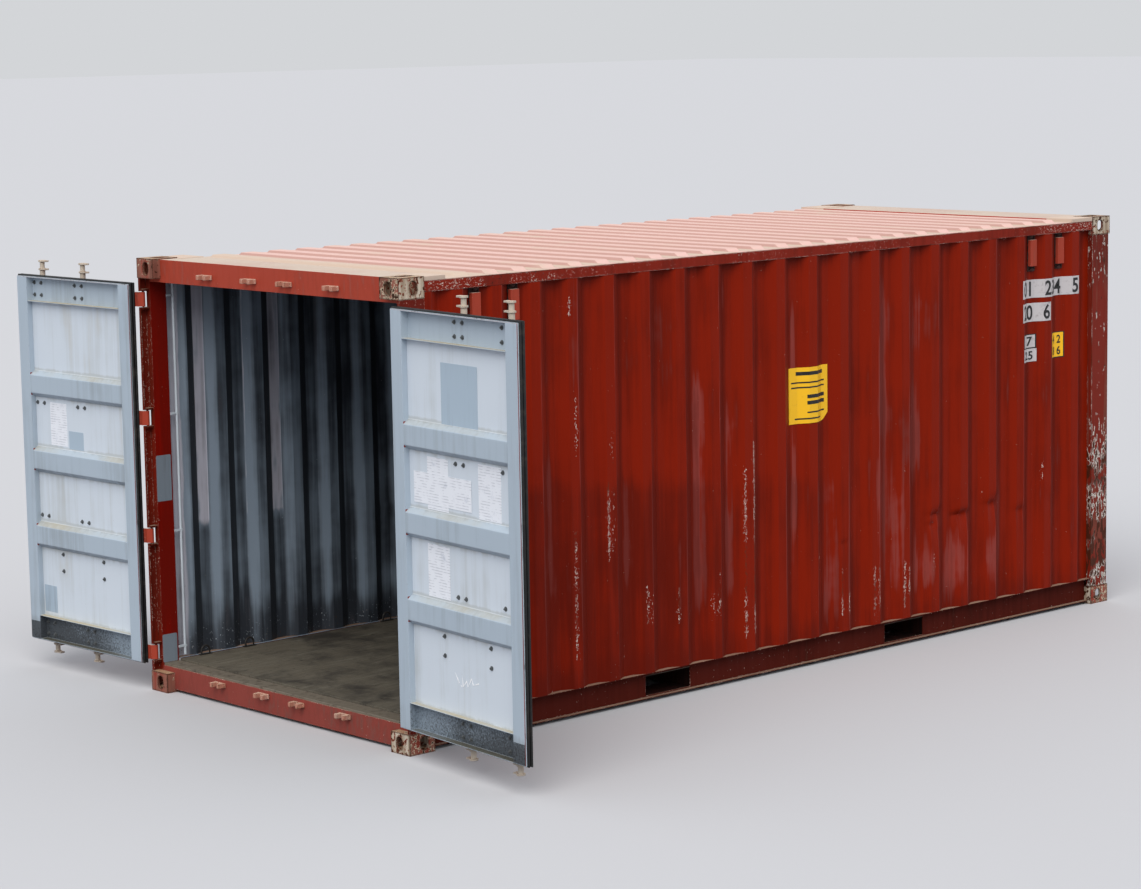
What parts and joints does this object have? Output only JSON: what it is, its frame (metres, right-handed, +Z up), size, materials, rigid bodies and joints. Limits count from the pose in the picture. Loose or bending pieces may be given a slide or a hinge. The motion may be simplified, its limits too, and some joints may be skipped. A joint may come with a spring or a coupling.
{
  "type": "shipping container",
  "caption": "Corrugated steel freight container with corner castings and hinged end doors swung open, each with turning lock bars.",
  "frame": {"origin": "on the ground, midway between the four bottom twistlock apertures", "axes": "+X along the length from the doors to the closed end, +Y towards the left side seen from the doors, +Z up"},
  "size_m": [6.2373, 4.76, 2.591],
  "materials": {
    "red_paint": "weathered satin, chipped to primer and rust",
    "faded_red_paint": "sun-bleached matt",
    "grey_paint": "dirty satin",
    "floor_plywood": "worn, dirty plywood",
    "worn_steel": "worn and partly painted",
    "gasket_rubber": "matt"
  },
  "bodies": {
    "root": {"rear_bottom_castings": "red_paint", "front_bottom_castings": "red_paint", "rear_top_castings": "red_paint", "front_top_castings": "red_paint", "rear_post_left": "red_paint", "rear_post_right": "red_paint", "door_header": "red_paint", "door_sill": "red_paint", "threshold_strip": "worn_steel", "front_post_left": "red_paint", "front_post_right": "red_paint", "front_header": "red_paint", "front_sill": "red_paint", "front_wall": "red_paint", "side_wall_left": "red_paint", "side_wall_right": "red_paint", "top_side_rails": "red_paint", "bottom_rail_left": "red_paint", "bottom_rail_right": "red_paint", "roof_sheet": "faded_red_paint", "roof_corner_plates": "faded_red_paint", "floor_boards": "floor_plywood", "cross_members": "red_paint", "rear_fork_pocket": "red_paint", "front_fork_pocket": "red_paint", "ventilators": "red_paint", "lashing_rings": "worn_steel", "lashing_rods": "grey_paint", "header_keepers": "red_paint", "sill_keepers": "red_paint", "hinge_lugs": "red_paint"},
    "door_right": {"door_frame_right": "grey_paint", "door_panel_right": "grey_paint", "door_gasket_right": "gasket_rubber", "door_hinges_right": "red_paint", "door_brackets_right": "red_paint"},
    "lock_bar_right_outer": {"lock_bar_right_outer": "worn_steel"},
    "lock_bar_right_inner": {"lock_bar_right_inner": "worn_steel"},
    "door_left": {"door_frame_left": "grey_paint", "door_panel_left": "grey_paint", "door_gasket_left": "gasket_rubber", "door_hinges_left": "red_paint", "door_brackets_left": "red_paint"},
    "lock_bar_left_outer": {"lock_bar_left_outer": "worn_steel"},
    "lock_bar_left_inner": {"lock_bar_left_inner": "worn_steel"}
  },
  "joints": [
    {"name": "door_right_hinge", "type": "hinge", "parent": "root", "child": "door_right", "pos_m": [-3.007, -1.195, 1.3], "axis": [0, 0, 1], "range_deg": [-174.3, 85.7]},
    {"name": "lock_bar_right_outer_turn", "type": "hinge", "parent": "door_right", "child": "lock_bar_right_outer", "pos_m": [-3.06709, -1.79701, 1.3], "axis": [0, 0, 1], "range_deg": [-90, 0]},
    {"name": "lock_bar_right_inner_turn", "type": "hinge", "parent": "door_right", "child": "lock_bar_right_inner", "pos_m": [-3.1092, -2.21891, 1.3], "axis": [0, 0, 1], "range_deg": [-90, 0]},
    {"name": "door_left_hinge", "type": "hinge", "parent": "root", "child": "door_left", "pos_m": [-3.007, 1.195, 1.3], "axis": [0, 0, -1], "range_deg": [-178.2, 81.8]},
    {"name": "lock_bar_left_outer_turn", "type": "hinge", "parent": "door_left", "child": "lock_bar_left_outer", "pos_m": [-3.026, 1.7997, 1.3], "axis": [0, 0, -1], "range_deg": [-90, 0]},
    {"name": "lock_bar_left_inner_turn", "type": "hinge", "parent": "door_left", "child": "lock_bar_left_inner", "pos_m": [-3.03932, 2.22349, 1.3], "axis": [0, 0, -1], "range_deg": [-90, 0]}
  ]
}
